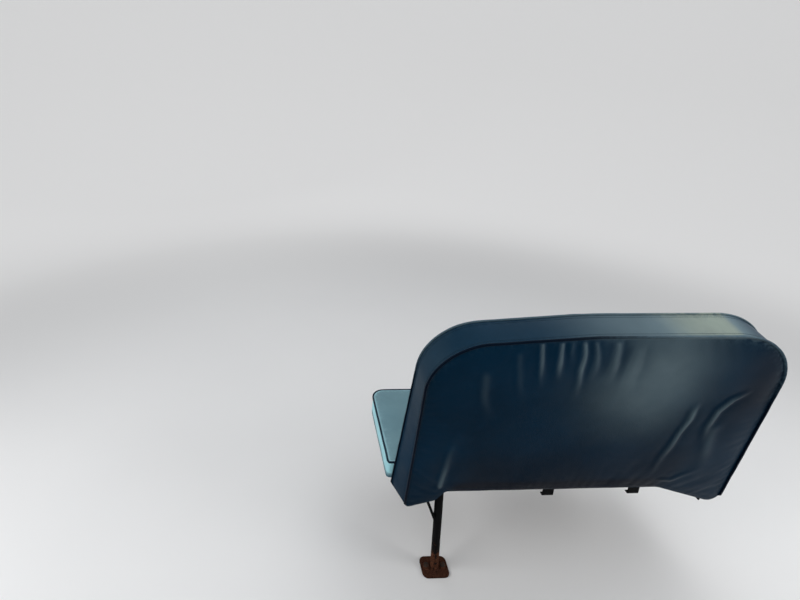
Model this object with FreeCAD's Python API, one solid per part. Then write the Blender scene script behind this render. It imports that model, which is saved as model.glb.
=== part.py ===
import FreeCAD, Part
import math
import os

# Bench seat of a small school bus, for two to three children, bolted to the floor by an aisle leg
# and to the side wall by an angle bracket. Millimetres.
# +X runs from the aisle towards the side wall, +Y is the way the passenger faces, +Z is up.
# The origin is on the floor, in the middle of the four floor bolts.
# A place along Y is counted from the rear foot while the numbers are set, and moved at the end
# of this list, because every depth of the real seat is measured from that foot.

V = FreeCAD.Vector

# Cushion. Its two ends place the frame, the wall bracket and the back as well.
CUSHION_AISLE = -167.0
CUSHION_WIDTH = 990.0
CUSHION_WALL = CUSHION_AISLE + CUSHION_WIDTH
CUSHION_TOP = 400.0
CUSHION_NOSE_DEPTH = 358.0  # nose, from the rear foot; it places the front tube and foot as well
CUSHION_BACK_GAP = 3.0
CUSHION_CORNER = 42.0
CUSHION_EDGE_R = 16.0
BOARD_THICK = 12.0
BOARD_INSET = 27.0
BOARD_NOSE_INSET = 18.0
BOARD_REAR_INSET = 4.0

# Aisle leg
FRONT_FOOT_AHEAD = 17.0     # middle of the front foot ahead of the front tube's axis
FOOT_WIDTH = 84.0
FOOT_LENGTH = 66.0
FOOT_THICK = 5.0
FOOT_CORNER = 17.0
BOLT_SPACING = 52.0         # the two bolts of a foot, across the seat
BOLT_HOLE_R = 5.5
LEG_OD = 25.4
FRONT_LEG_SETBACK = 4.0     # top of the front leg behind the front tube's axis
STRUT_WIDTH = 20.0
STRUT_THICK = 8.0
STRUT_REACH = 58.0          # how far the strut's top stands from the leg, towards the aisle
STRUT_FOOT_Z = 186.0        # where the strut leaves the leg

# Seat frame
TUBE = 25.4                 # square tube, and the round front tube and hoop
TUBE_WALL = 2.0
FRAME_TOP = 326.0
NOSE_OVERHANG = 60.0        # cushion ahead of the front tube's axis, which is its hinge
TUBE_AISLE_INSET = 62.0     # tube ends inside the cushion's ends by this much
TUBE_WALL_INSET = 11.0
RAIL_AISLE_INSET = 25.0     # outer rails, from their axis to the tube ends
RAIL_WALL_INSET = 52.0

# Wall bracket
BRACKET_PROUD = 3.0         # outer face, against the side wall, past the cushion's end
BRACKET_FLANGE = 42.0
BRACKET_DROP = 76.0
BRACKET_THICK = 4.0
BRACKET_SETBACK = 3.0       # bracket ends inside the cross tubes' outer faces by this much
BRACKET_BEND = 6.0
WALL_BOLT_REAR = 50.5       # rear wall bolt ahead of the rear foot
WALL_BOLT_FRONT = 17.5      # front wall bolt behind the front tube's axis
WALL_BOLT_Z = 244.0

# Seat back, in its own leaning plane: u across, v up the lean, w from the rear face to the front
RECLINE = 10.8              # degrees
BACK_REAR_DEPTH = -26.0     # foot of the rear face, from the rear foot
BACK_BASE_Z = 274.0
BACK_HEIGHT = 640.0
BACK_AISLE_INSET = 47.0     # aisle edge of the back, inside the cushion's end
BACK_WALL_TAPER = 61.0      # the wall edge leans in by this much over the height
BACK_CORNER_AISLE = 146.0
BACK_CORNER_WALL = 180.0
BACK_CREST = 380.0          # the top edge is level from the wall to this far from the aisle edge
BACK_CREST_R = 1200.0
BACK_TOP_DROP = 30.0        # and from there it comes down by this much
BACK_THICK_BOTTOM = 64.0
BACK_THICK_TOP = 73.0
BACK_FLARE = 28.0           # how much wider the front edge is, low on the aisle side
BACK_FRONT_RISE = 6.0       # the front edge stands higher than the rear one
BACK_EDGE_ROUND = 12.0
BACK_SWELL = 16.0           # how far the front bulges over its foam
SWELL_FOOT_V = 160.0        # the bulge begins here, above the cushion
SWELL_EDGE = 27.0           # and ends this far inside the other edges
HEM_V = 75.0                # straight hem between the two skirts
SKIRT_AISLE = 110.0         # width of the skirt at the aisle, and at the wall
SKIRT_WALL = 211.0
HOOP_DEPTH = 36.0
HOOP_INSET = 28.0
HOOP_FOOT_V = 12.0
SKIRT_SHELL = 11.0          # wall of the aisle skirt outside the rear tube's end

# Hinge clips on the front tube and latch plates on the rear tube
CLIP_AISLE_INSET = 230.0    # from the outer rails
CLIP_WALL_INSET = 160.0
CLIP_WIDTH = 40.0
CLIP_THICK = 2.5
CLIP_FLANGE = 38.0
CLIP_WRAP = 150.0           # degrees of the wrap, from straight ahead down and back
LATCH_AISLE_INSET = 450.0   # from the back's side edges
LATCH_WALL_INSET = 225.0
LATCH_WIDTH = 34.0
LATCH_THICK = 3.0
LATCH_DROP = 38.0
LATCH_LIP = 9.0

# Clearances
CLEAR = 0.3                 # between a welded or resting pair with a curved face, and round foam
REST = 0.6                  # foam above the steel that it would rest on

# Places worked out from the sizes above
TUBE_AISLE_END = CUSHION_AISLE + TUBE_AISLE_INSET
TUBE_WALL_END = CUSHION_WALL - TUBE_WALL_INSET
RAIL_AISLE = TUBE_AISLE_END + RAIL_AISLE_INSET
RAIL_WALL = TUBE_WALL_END - RAIL_WALL_INSET
RAIL_PLACES = {"rail_aisle": RAIL_AISLE, "rail_middle": (RAIL_AISLE + RAIL_WALL) / 2,
               "rail_wall": RAIL_WALL}
BRACKET_FACE = CUSHION_WALL + BRACKET_PROUD
BACK_AISLE = CUSHION_AISLE + BACK_AISLE_INSET
BACK_WALL = CUSHION_WALL
CLIP_PLACES = {"hinge_clip_aisle": RAIL_AISLE + CLIP_AISLE_INSET,
               "hinge_clip_wall": RAIL_WALL - CLIP_WALL_INSET}
LATCH_PLACES = {"latch_aisle": BACK_AISLE + LATCH_AISLE_INSET,
                "latch_wall": BACK_WALL - LATCH_WALL_INSET}
FRONT_TUBE_DEPTH = CUSHION_NOSE_DEPTH - NOSE_OVERHANG
FOOT_SPACING = FRONT_TUBE_DEPTH + FRONT_FOOT_AHEAD
REAR_FOOT_Y = -FOOT_SPACING / 2
FRONT_FOOT_Y = FOOT_SPACING / 2
FRONT_TUBE_Y = REAR_FOOT_Y + FRONT_TUBE_DEPTH
FRONT_TUBE_Z = FRAME_TOP - CLEAR - TUBE / 2
FRAME_BOTTOM = FRAME_TOP - TUBE
BACK_LEAN = FreeCAD.Placement(V(0, REAR_FOOT_Y + BACK_REAR_DEPTH, BACK_BASE_Z),
                              FreeCAD.Rotation(V(1, 0, 0), RECLINE))
BOARD_TOP = FRAME_TOP + BOARD_THICK
FRONT_LEAN = math.degrees(math.atan((BACK_THICK_TOP - BACK_THICK_BOTTOM) / BACK_HEIGHT))


def leaning_y(w, z, forward=0.0):
    """Y, at a height, of the plane that leaves the back's foot at depth w, leaning forward less."""
    foot = BACK_LEAN.multVec(V(0, w, 0))
    return foot.y - (z - foot.z) * math.tan(math.radians(RECLINE - forward))


# The rear tube stands against the front of the hoop's feet
REAR_TUBE_Y = leaning_y(HOOP_DEPTH + TUBE / 2, FRAME_BOTTOM + TUBE_WALL) + CLEAR + TUBE / 2


def block(x0, x1, y0, y1, z0, z1):
    """A box between three pairs of limits."""
    return Part.makeBox(x1 - x0, y1 - y0, z1 - z0, V(x0, y0, z0))


def rounded_path(points, closed=True):
    """Straight runs joined by tangent arcs. Each point is (across, up, corner radius)."""
    count = len(points)
    places = [V(u, 0, v) for u, v, _ in points]
    legs = []
    for i in range(count):
        radius = points[i][2]
        if radius == 0 or (not closed and i in (0, count - 1)):
            legs.append((places[i], None, places[i]))
            continue
        back = (places[i - 1] - places[i]).normalize()
        ahead = (places[(i + 1) % count] - places[i]).normalize()
        half = back.getAngle(ahead) / 2
        reach = radius / math.tan(half)
        middle = (back + ahead).normalize() * (radius / math.sin(half) - radius)
        legs.append((places[i] + back * reach, places[i] + middle, places[i] + ahead * reach))
    edges = []
    for i in range(count):
        start, middle, end = legs[i]
        if middle:
            edges.append(Part.Arc(start, middle, end).toShape())
        if closed or i < count - 1:
            edges.append(Part.LineSegment(end, legs[(i + 1) % count][0]).toShape())
    return Part.Wire(edges)


def swept_rod(points, radius):
    """A round rod along an open rounded path in the plane y = 0."""
    path = rounded_path(points, closed=False)
    first = path.Edges[0]
    start = first.valueAt(first.FirstParameter)
    ring = Part.Wire(Part.makeCircle(radius, start, first.tangentAt(first.FirstParameter)))
    return path.makePipeShell([ring], True, False)


def wall_edge(v, inset=0.0):
    """Across place of the leaning wall side edge at a height up the back."""
    return BACK_WALL - BACK_WALL_TAPER * v / BACK_HEIGHT - inset


def back_outline(flare, rise):
    """Outline of the back: two hanging skirts, a straight hem, and a top that falls to the aisle."""
    top = BACK_HEIGHT + rise
    low_aisle = BACK_AISLE - flare
    return rounded_path([
        (low_aisle, 2, 10),
        (BACK_AISLE + SKIRT_AISLE - 24, 34, 18),
        (BACK_AISLE + SKIRT_AISLE, HEM_V, 12),
        (BACK_WALL - SKIRT_WALL, HEM_V, 40),
        (BACK_WALL, -8, 26),
        (wall_edge(top), top, BACK_CORNER_WALL),
        (BACK_AISLE + BACK_CREST, top, BACK_CREST_R),
        (BACK_AISLE, top - BACK_TOP_DROP, BACK_CORNER_AISLE),
    ])


def hoop_path(foot_v):
    """Centre line of the hoop, set in from the outline of the rear face."""
    top = BACK_HEIGHT - HOOP_INSET
    return [
        (BACK_AISLE + HOOP_INSET, foot_v, 0),
        (BACK_AISLE + HOOP_INSET, top - BACK_TOP_DROP, BACK_CORNER_AISLE - HOOP_INSET),
        (BACK_AISLE + BACK_CREST, top, BACK_CREST_R - HOOP_INSET),
        (wall_edge(top, HOOP_INSET), top, BACK_CORNER_WALL - HOOP_INSET),
        (wall_edge(foot_v, HOOP_INSET), foot_v, 0),
    ]


def make_back_hoop():
    """Bent steel tube that carries the back, open at its two feet."""
    outer = swept_rod(hoop_path(HOOP_FOOT_V), TUBE / 2)
    inner = swept_rod(hoop_path(HOOP_FOOT_V - 1), TUBE / 2 - TUBE_WALL)
    hoop = outer.cut(inner)
    hoop.translate(V(0, HOOP_DEPTH, 0))
    hoop.Placement = BACK_LEAN.multiply(hoop.Placement)
    return hoop


def make_back_pad():
    """Foam and cover of the back, with a channel for the hoop and a notch for the rear tube."""
    rear = back_outline(0, 0)
    front = back_outline(BACK_FLARE, BACK_FRONT_RISE)
    front.rotate(V(0, 0, 0), V(1, 0, 0), -FRONT_LEAN)
    front.translate(V(0, BACK_THICK_BOTTOM, 0))
    pad = Part.makeLoft([rear, front], True, True)
    rim = [e for e in pad.Edges if is_front_rim(e)]
    pad = pad.makeFillet(BACK_EDGE_ROUND, rim).fuse(front_swell())
    channel = swept_rod(hoop_path(-TUBE), TUBE / 2 + CLEAR)
    channel.translate(V(0, HOOP_DEPTH, 0))
    pad = pad.cut(channel)
    pad.Placement = BACK_LEAN.multiply(pad.Placement)
    notch = block(BACK_AISLE + SKIRT_SHELL, BACK_WALL + TUBE,
                  REAR_TUBE_Y - TUBE / 2 - CLEAR, REAR_TUBE_Y + 4 * TUBE,
                  BACK_BASE_Z - 3 * TUBE, FRAME_TOP + REST)
    return pad.cut(notch)


def front_swell():
    """Bulge of the foam over the front face: full in its middle, and flat again at the edges."""
    low, high = SWELL_FOOT_V, BACK_HEIGHT + BACK_FRONT_RISE - SWELL_EDGE
    middle_v, half_v = (high + low) / 2, (high - low) / 2
    left, right = BACK_AISLE + SWELL_EDGE / 2, wall_edge(middle_v, SWELL_EDGE)
    middle_u, half_u = (right + left) / 2, (right - left) / 2
    steps = [1.05 * k / 4 for k in range(-4, 5)]
    grid = [[V(middle_u + s * half_u, BACK_SWELL * (1 - s ** 4 - t ** 4), middle_v + t * half_v)
             for t in steps] for s in steps]
    surface = Part.BSplineSurface()
    surface.interpolate(grid)
    sunk = BACK_SWELL / 8
    under = surface.toShape().extrude(V(0, -4 * BACK_THICK_TOP, 0))
    room = block(left - half_u, right + half_u, -sunk, 2 * BACK_SWELL, 0, 2 * high)
    swell = under.common(room)
    swell.rotate(V(0, 0, 0), V(1, 0, 0), -FRONT_LEAN)
    swell.translate(V(0, BACK_THICK_BOTTOM, 0))
    return swell


def is_front_rim(edge):
    """True for the front edges of the back that are above the hem."""
    box = edge.BoundBox
    return box.YMin > BACK_THICK_BOTTOM - 1 and box.ZMax > HEM_V + 2 * BACK_EDGE_ROUND


def square_tube(length):
    """Square tube along +X from the origin, centred on the axis."""
    half = TUBE / 2
    outer = block(0, length, -half, half, -half, half)
    corners = [e for e in outer.Edges if abs(e.tangentAt(0).x) > 0.9]
    outer = outer.makeFillet(TUBE_WALL, corners)
    hole = half - TUBE_WALL
    return outer.cut(block(-1, length + 1, -hole, hole, -hole, hole))


def make_rear_tube():
    """Square cross tube under the rear of the cushion."""
    tube = square_tube(TUBE_WALL_END - TUBE_AISLE_END)
    tube.translate(V(TUBE_AISLE_END, REAR_TUBE_Y, FRAME_TOP - TUBE / 2))
    return tube


def make_front_tube():
    """Round cross tube that the cushion's clips turn on."""
    length = TUBE_WALL_END - TUBE_AISLE_END
    start = V(TUBE_AISLE_END, FRONT_TUBE_Y, FRONT_TUBE_Z)
    outer = Part.makeCylinder(TUBE / 2, length, start, V(1, 0, 0))
    return outer.cut(Part.makeCylinder(TUBE / 2 - TUBE_WALL, length, start, V(1, 0, 0)))


def front_tube_bite():
    """What is cut from a tube end that is coped to the front tube."""
    start = V(2 * TUBE_AISLE_END, FRONT_TUBE_Y, FRONT_TUBE_Z)
    return Part.makeCylinder(TUBE / 2 + CLEAR, 2 * TUBE_WALL_END, start, V(1, 0, 0))


def make_rail(x):
    """Square rail from the rear tube's face to the front tube, coped to its round."""
    start = REAR_TUBE_Y + TUBE / 2
    rail = square_tube(FRONT_TUBE_Y - start)
    rail.rotate(V(0, 0, 0), V(0, 0, 1), 90)
    rail.translate(V(x, start, FRAME_TOP - TUBE / 2))
    return rail.cut(front_tube_bite())


def leg_axis(foot_y, top_y):
    """Start point and direction of a leaning leg, from the floor to the frame."""
    start = V(0, foot_y, 0)
    return start, (V(0, top_y, FRAME_BOTTOM) - start)


def make_leg(foot_y, top_y):
    """Round leg between the foot plate and the underside of a cross tube."""
    start, run = leg_axis(foot_y, top_y)
    longer = run.Length * 1.2
    start = start - run * 0.1
    outer = Part.makeCylinder(LEG_OD / 2, longer, start, run)
    bore = Part.makeCylinder(LEG_OD / 2 - TUBE_WALL, longer, start, run)
    room = block(-LEG_OD, LEG_OD, foot_y - FOOT_SPACING, foot_y + FOOT_SPACING,
                 FOOT_THICK, FRAME_BOTTOM)
    return outer.cut(bore).common(room)


def make_foot(y):
    """Foot plate with two bolt holes, one each side of the leg."""
    plate = block(-FOOT_WIDTH / 2, FOOT_WIDTH / 2, y - FOOT_LENGTH / 2, y + FOOT_LENGTH / 2,
                  0, FOOT_THICK)
    corners = [e for e in plate.Edges if abs(e.tangentAt(0).z) > 0.9]
    plate = plate.makeFillet(FOOT_CORNER, corners)
    for side in (-1, 1):
        hole = Part.makeCylinder(BOLT_HOLE_R, 3 * FOOT_THICK,
                                 V(side * BOLT_SPACING / 2, y, -FOOT_THICK))
        plate = plate.cut(hole)
    return plate


def make_strut():
    """Flat strut from the rear leg up to the rear tube, on the aisle side."""
    start, run = leg_axis(REAR_FOOT_Y, REAR_TUBE_Y)
    lean = math.degrees(math.atan2(run.y, run.z))
    slant = math.atan2(STRUT_REACH - LEG_OD / 2, FRAME_BOTTOM - STRUT_FOOT_Z)
    length = 2 * FRAME_BOTTOM
    bar = block(-STRUT_THICK / 2, STRUT_THICK / 2, -STRUT_WIDTH / 2, STRUT_WIDTH / 2,
                -length / 2, length / 2)
    bar.rotate(V(0, 0, 0), V(0, 1, 0), -math.degrees(slant))
    bar.translate(V(-LEG_OD / 2, 0, STRUT_FOOT_Z))
    bar.rotate(V(0, 0, 0), V(1, 0, 0), -lean)
    bar.translate(start)
    room = block(-2 * STRUT_REACH, 0, REAR_FOOT_Y - LEG_OD, REAR_TUBE_Y + LEG_OD,
                 STRUT_FOOT_Z / 2, FRAME_BOTTOM)
    leg = Part.makeCylinder(LEG_OD / 2 + CLEAR, run.Length, start, run)
    pieces = bar.common(room).cut(leg).Solids
    return max(pieces, key=lambda piece: piece.BoundBox.ZMax)


def make_wall_bracket():
    """Angle bracket: the cross tubes rest on its flange, and its drop bolts to the wall."""
    rear = REAR_TUBE_Y - TUBE / 2 + BRACKET_SETBACK
    front = FRONT_TUBE_Y + TUBE / 2 - BRACKET_SETBACK
    top = FRAME_BOTTOM
    outer = block(BRACKET_FACE - BRACKET_FLANGE, BRACKET_FACE, rear, front,
                  top - BRACKET_DROP, top)
    inner = block(BRACKET_FACE - 2 * BRACKET_FLANGE, BRACKET_FACE - BRACKET_THICK, rear - 1,
                  front + 1, top - 2 * BRACKET_DROP, top - BRACKET_THICK)
    bend = [e for e in outer.Edges
            if e.BoundBox.XMin > BRACKET_FACE - 1 and e.BoundBox.ZMin > top - 1]
    outer = outer.makeFillet(BRACKET_BEND, bend)
    crease = [e for e in inner.Edges
              if e.BoundBox.XMin > BRACKET_FACE - BRACKET_THICK - 1
              and e.BoundBox.ZMin > top - BRACKET_THICK - 1]
    inner = inner.makeFillet(BRACKET_BEND - BRACKET_THICK, crease)
    angle = outer.cut(inner).cut(front_tube_bite())
    for y in (REAR_FOOT_Y + WALL_BOLT_REAR, FRONT_TUBE_Y - WALL_BOLT_FRONT):
        hole = Part.makeCylinder(BOLT_HOLE_R, 4 * BRACKET_THICK,
                                 V(BRACKET_FACE - 2 * BRACKET_THICK, y, WALL_BOLT_Z), V(1, 0, 0))
        angle = angle.cut(hole)
    return angle


def cushion_rear_y(z):
    """Y of the cushion's rear face at a height: the back's front face with a gap ahead of it."""
    return leaning_y(BACK_THICK_BOTTOM, z, FRONT_LEAN) + CUSHION_BACK_GAP


def make_cushion_pad():
    """Foam and cover of the cushion, rounded at its nose, with a pocket for the board."""
    low = FRAME_TOP + REST
    rear_low = cushion_rear_y(low)
    rear_top = cushion_rear_y(CUSHION_TOP)
    nose = REAR_FOOT_Y + CUSHION_NOSE_DEPTH
    profile = Part.makePolygon([V(CUSHION_AISLE, rear_low, low), V(CUSHION_AISLE, nose, low),
                                V(CUSHION_AISLE, nose, CUSHION_TOP),
                                V(CUSHION_AISLE, rear_top, CUSHION_TOP),
                                V(CUSHION_AISLE, rear_low, low)])
    pad = Part.Face(profile).extrude(V(CUSHION_WIDTH, 0, 0))
    corners = [e for e in pad.Edges
               if e.BoundBox.YMin > nose - 1 and e.BoundBox.ZMax - e.BoundBox.ZMin > TUBE]
    pad = pad.makeFillet(CUSHION_CORNER, corners)
    rim = [e for e in pad.Edges if e.BoundBox.ZMin > CUSHION_TOP - 1]
    pad = pad.makeFillet(CUSHION_EDGE_R, rim)
    return pad.cut(board_block(CLEAR))


def board_block(grow):
    """The plywood board, or with a clearance added, the pocket that takes it."""
    rear = cushion_rear_y(FRAME_TOP) + BOARD_REAR_INSET
    nose = REAR_FOOT_Y + CUSHION_NOSE_DEPTH - BOARD_NOSE_INSET
    left = CUSHION_AISLE + BOARD_INSET
    right = CUSHION_WALL - BOARD_INSET
    below = FRAME_TOP if grow == 0 else FRAME_TOP - TUBE
    board = block(left - grow, right + grow, rear - grow, nose + grow, below, BOARD_TOP + grow)
    corners = [e for e in board.Edges
               if e.BoundBox.YMin > nose - 1 and e.BoundBox.ZMax - e.BoundBox.ZMin > 1]
    return board.makeFillet(CUSHION_CORNER / 2, corners)


def make_hinge_clip(x):
    """Strap that hangs from the board and wraps under the front tube."""
    bore = TUBE / 2 + CLEAR
    outer = bore + CLIP_THICK
    centre = V(x - CLIP_WIDTH / 2, FRONT_TUBE_Y, FRONT_TUBE_Z)
    ring = Part.makeCylinder(outer, CLIP_WIDTH, centre, V(1, 0, 0))
    upper = block(x - CLIP_WIDTH, x + CLIP_WIDTH, FRONT_TUBE_Y - 2 * outer, FRONT_TUBE_Y,
                  FRONT_TUBE_Z, FRONT_TUBE_Z + 2 * outer)
    upper.rotate(centre, V(1, 0, 0), 180 - CLIP_WRAP)
    rear = block(x - CLIP_WIDTH, x + CLIP_WIDTH, FRONT_TUBE_Y - 2 * outer, FRONT_TUBE_Y,
                 FRONT_TUBE_Z, FRONT_TUBE_Z + 2 * outer)
    flange = block(x - CLIP_WIDTH / 2, x + CLIP_WIDTH / 2, FRONT_TUBE_Y,
                   FRONT_TUBE_Y + CLIP_FLANGE, FRAME_TOP - CLIP_THICK, FRAME_TOP)
    above = block(x - CLIP_WIDTH, x + CLIP_WIDTH, FRONT_TUBE_Y - 2 * outer,
                  FRONT_TUBE_Y + 2 * outer, FRAME_TOP, FRAME_TOP + 2 * outer)
    strap = ring.cut(rear).cut(upper).cut(above).fuse(flange)
    bite = Part.makeCylinder(bore, CLIP_WIDTH, centre, V(1, 0, 0))
    return strap.cut(bite).removeSplitter()


def make_latch(x):
    """Turned-down latch plate on the rear tube's rear face, with a small lip."""
    face = REAR_TUBE_Y - TUBE / 2
    low = FRAME_BOTTOM - LATCH_DROP
    plate = block(x - LATCH_WIDTH / 2, x + LATCH_WIDTH / 2, face - LATCH_THICK, face,
                  low, FRAME_TOP - TUBE_WALL)
    lip = block(x - LATCH_WIDTH / 2, x + LATCH_WIDTH / 2, face - LATCH_THICK, face + LATCH_LIP,
                low, low + LATCH_THICK)
    latch = plate.fuse(lip).removeSplitter()
    heel = [e for e in latch.Edges
            if e.BoundBox.YMax < face - LATCH_THICK + 0.1 and e.BoundBox.ZMax < low + 0.1]
    return latch.makeFillet(LATCH_THICK - 0.5, heel)


parts = {
    "back_hoop": make_back_hoop(),
    "back_pad": make_back_pad(),
    "rear_tube": make_rear_tube(),
    "front_tube": make_front_tube(),
    "leg_rear": make_leg(REAR_FOOT_Y, REAR_TUBE_Y),
    "leg_front": make_leg(FRONT_FOOT_Y, FRONT_TUBE_Y - FRONT_LEG_SETBACK).cut(front_tube_bite()),
    "leg_strut": make_strut(),
    "foot_rear": make_foot(REAR_FOOT_Y),
    "foot_front": make_foot(FRONT_FOOT_Y),
    "wall_bracket": make_wall_bracket(),
    "cushion_pad": make_cushion_pad(),
    "cushion_board": board_block(0),
}
for name, x in RAIL_PLACES.items():
    parts[name] = make_rail(x)
for name, x in CLIP_PLACES.items():
    parts[name] = make_hinge_clip(x)
for name, x in LATCH_PLACES.items():
    parts[name] = make_latch(x)

os.makedirs("parts", exist_ok=True)
for name, shape in parts.items():
    solids = len(shape.Solids)
    print(name, "solids", solids, "valid", shape.isValid(), "volume", round(shape.Volume))
    shape.exportStep("parts/" + name + ".step")
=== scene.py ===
import math

import bmesh
import bpy
import numpy as np
from mathutils import Matrix, Vector, geometry, noise
from mathutils.bvhtree import BVHTree


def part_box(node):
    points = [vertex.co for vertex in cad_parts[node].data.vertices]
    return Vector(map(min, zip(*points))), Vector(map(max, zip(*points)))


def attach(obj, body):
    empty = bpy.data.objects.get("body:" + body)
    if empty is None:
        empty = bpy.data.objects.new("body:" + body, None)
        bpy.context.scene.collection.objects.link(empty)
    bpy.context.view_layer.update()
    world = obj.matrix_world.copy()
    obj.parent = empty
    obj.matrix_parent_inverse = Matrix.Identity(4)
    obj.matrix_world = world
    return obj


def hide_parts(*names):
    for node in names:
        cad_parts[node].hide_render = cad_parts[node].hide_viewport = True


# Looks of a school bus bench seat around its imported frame. Metres, in the frame of the CAD:
# +X from the aisle side to the wall side, +Y the way the seat faces, +Z up, floor at z = 0.

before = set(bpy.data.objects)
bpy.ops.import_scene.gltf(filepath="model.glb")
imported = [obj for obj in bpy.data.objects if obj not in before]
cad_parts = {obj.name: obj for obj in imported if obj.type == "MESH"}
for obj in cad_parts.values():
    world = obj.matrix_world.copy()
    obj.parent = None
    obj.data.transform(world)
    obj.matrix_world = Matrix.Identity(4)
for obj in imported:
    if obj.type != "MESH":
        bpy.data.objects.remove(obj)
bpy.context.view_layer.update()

MM = 0.001

# Sizes of the CAD model that the pieces here are set against
FRAME_TOP = 326 * MM
REAR_FOOT_Y = -157.5 * MM
FRONT_FOOT_Y = 157.5 * MM
FRONT_TUBE_Y = 140.5 * MM
FRONT_TUBE_Z = 313 * MM
FRONT_TUBE_END = -105 * MM
FRONT_LEG_SETBACK = 4 * MM
FOOT_THICK = 5 * MM
BOLT_OFFSET = 26 * MM
WALL_BOLT_Y = 8 * MM
WALL_BOLT_OFFSET = 115 * MM
WALL_BOLT_Z = 244 * MM
BRACKET_WELD_END = 811 * MM
WALL_INNER = 822 * MM
WALL_PLANE = 826 * MM
BACK_LEAN = math.radians(10.8)
BACK_ORIGIN = np.array([0.0, -183.5 * MM, 274 * MM])
BACK_HEIGHT = 640 * MM
BACK_AISLE = -120 * MM
BACK_WALL = 823 * MM
BACK_TAPER = 61 * MM
BACK_CORNER_AISLE = 146 * MM
BACK_CORNER_WALL = 180 * MM
BACK_CREST = 380 * MM
BACK_CREST_R = 1200 * MM
BACK_TOP_DROP = 30 * MM
BACK_THICK = 64 * MM
BACK_THICK_TOP = 73 * MM
BACK_FLARE = 28 * MM
BACK_RISE = 6 * MM
HEM = 75 * MM
SKIRT_AISLE = 110 * MM
SKIRT_WALL = 211 * MM
SKIRT_SHELL = 11 * MM
CUSHION_AISLE = -167 * MM
CUSHION_WALL = 823 * MM
CUSHION_LOW = 326.6 * MM
CUSHION_NOSE = 200.5 * MM
CUSHION_CORNER = 42 * MM
BOARD_TOP = 338 * MM

ACROSS = np.array([1.0, 0.0, 0.0])
UP = np.array([0.0, -math.sin(BACK_LEAN), math.cos(BACK_LEAN)])
FORWARD = np.array([0.0, math.cos(BACK_LEAN), math.sin(BACK_LEAN)])
FRONT_LEAN = math.atan((BACK_THICK_TOP - BACK_THICK) / BACK_HEIGHT)

# The photograph's camera, in a frame 800 pixels wide, cropped to the seat
PHOTO_FOCAL = 315.9 / 800
SENSOR_WIDTH = 36
CROP = 1.45
SHIFT = (0.10, -0.095)
EYE = (-0.4283, -1.2064, 1.4462)
PITCH, YAW, ROLL = (math.radians(a) for a in (16.86, 2.69, 1.05))


def make_camera():
    """The photograph's own place and direction, cropped to the seat."""
    ahead = Vector((math.sin(YAW) * math.cos(PITCH), math.cos(YAW) * math.cos(PITCH),
                    -math.sin(PITCH)))
    level = Vector((math.cos(YAW), -math.sin(YAW), 0))
    high = level.cross(ahead)
    right = level * math.cos(ROLL) + high * math.sin(ROLL)
    up = high * math.cos(ROLL) - level * math.sin(ROLL)
    data = bpy.data.cameras.new("camera")
    data.sensor_width = SENSOR_WIDTH
    data.lens = SENSOR_WIDTH * PHOTO_FOCAL * CROP
    data.shift_x, data.shift_y = SHIFT
    camera = bpy.data.objects.new("camera", data)
    turn = Matrix((right, up, -ahead)).transposed().to_4x4()
    camera.matrix_world = Matrix.Translation(EYE) @ turn
    bpy.context.scene.collection.objects.link(camera)
    bpy.context.scene.camera = camera


# Meshes

def link(name, points, faces):
    """A smooth mesh object from points and faces."""
    mesh = bpy.data.meshes.new(name)
    mesh.from_pydata([tuple(p) for p in points], [], [tuple(f) for f in faces])
    mesh.update()
    mesh.shade_smooth()
    thing = bpy.data.objects.new(name, mesh)
    bpy.context.scene.collection.objects.link(thing)
    return thing


def finish_piece(thing, material, body, slot, *nodes):
    """Gives a piece its material and body, and hides the CAD nodes it stands for. The slot is not
    used.
    """
    thing.data.materials.clear()
    thing.data.materials.append(material)
    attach(thing, body)
    if nodes:
        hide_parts(*nodes)
    return thing


def unit(rows):
    """A vector, or each of many, brought to length 1."""
    return rows / np.linalg.norm(rows, axis=-1, keepdims=True)


def spun(flat, angle):
    """A flat vector turned by an angle."""
    x, y = flat
    return np.array([x * math.cos(angle) - y * math.sin(angle),
                     x * math.sin(angle) + y * math.cos(angle)])


def circle(count):
    """The cosine and the sine of evenly spaced angles."""
    angles = [2 * math.pi * k / count for k in range(count)]
    return [(math.cos(a), math.sin(a)) for a in angles]


def loop(ring):
    """Each point of a closed ring with the next one."""
    return list(zip(ring, [*ring[1:], ring[0]]))


def quads(lower, upper):
    """Faces between two closed rings of point numbers."""
    return [[a, b, d, c] for (a, b), (c, d) in zip(loop(lower), loop(upper))]


def skin(count, sides, first=0, closed=False, capped=True):
    """Faces over a row of rings of points, the first of them numbered first. The row may be
    closed, or its ends capped."""
    rows = [range(first + i * sides, first + (i + 1) * sides) for i in range(count)]
    faces = []
    for i in range(count if closed else count - 1):
        faces += quads(rows[i], rows[(i + 1) % count])
    if capped:
        faces += [list(reversed(rows[0])), list(rows[-1])]
    return faces


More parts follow.
